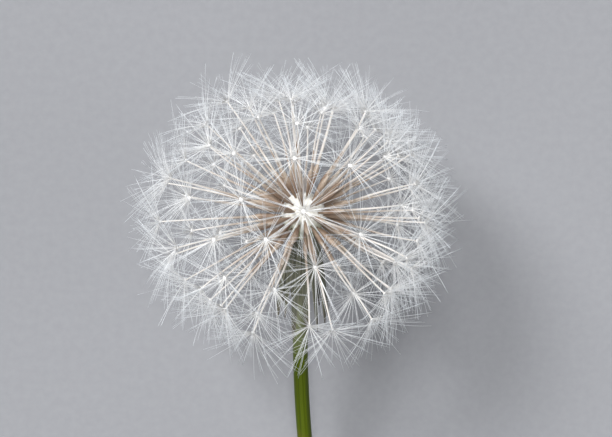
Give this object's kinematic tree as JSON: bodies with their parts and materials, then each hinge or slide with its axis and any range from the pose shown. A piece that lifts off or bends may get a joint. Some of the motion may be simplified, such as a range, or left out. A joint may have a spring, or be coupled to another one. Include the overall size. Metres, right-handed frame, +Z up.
{
  "type": "dandelion seed head",
  "caption": "Picked dandelion seed head lying on its side: hollow stem, domed receptacle, folded-back bracts and a globe of beaked seeds with hair parachutes.",
  "frame": {"origin": "centre of the underside of the bounding box, on the surface that the flower lies on", "axes": "+Z up from the surface; +Y from the stem's cut end towards the head; +X to the right as seen from above with the head away"},
  "size_m": [0.0426, 0.0825, 0.0412],
  "materials": {
    "stem": "satin",
    "receptacle": "matte",
    "bract": "matte",
    "seed": "matte"
  },
  "bodies": {
    "root": {"inner_bract_01": "bract", "inner_bract_02": "bract", "inner_bract_03": "bract", "inner_bract_04": "bract", "inner_bract_05": "bract", "inner_bract_06": "bract", "inner_bract_07": "bract", "inner_bract_08": "bract", "inner_bract_09": "bract", "inner_bract_10": "bract", "inner_bract_11": "bract", "inner_bract_12": "bract", "inner_bract_13": "bract", "outer_bract_01": "bract", "outer_bract_02": "bract", "outer_bract_03": "bract", "outer_bract_04": "bract", "outer_bract_05": "bract", "outer_bract_06": "bract", "outer_bract_07": "bract", "receptacle": "receptacle", "seed_01": "seed", "seed_02": "seed", "seed_03": "seed", "seed_04": "seed", "seed_05": "seed", "seed_06": "seed", "seed_07": "seed", "seed_08": "seed", "seed_09": "seed", "seed_10": "seed", "seed_11": "seed", "seed_12": "seed", "seed_13": "seed", "seed_14": "seed", "seed_15": "seed", "seed_16": "seed", "seed_17": "seed", "seed_18": "seed", "seed_19": "seed", "seed_20": "seed", "seed_21": "seed", "seed_22": "seed", "seed_23": "seed", "seed_24": "seed", "seed_25": "seed", "seed_26": "seed", "seed_27": "seed", "seed_28": "seed", "seed_29": "seed", "seed_30": "seed", "seed_31": "seed", "seed_32": "seed", "seed_33": "seed", "seed_34": "seed", "seed_35": "seed", "seed_36": "seed", "seed_37": "seed", "seed_38": "seed", "stem": "stem"}
  },
  "joints": []
}
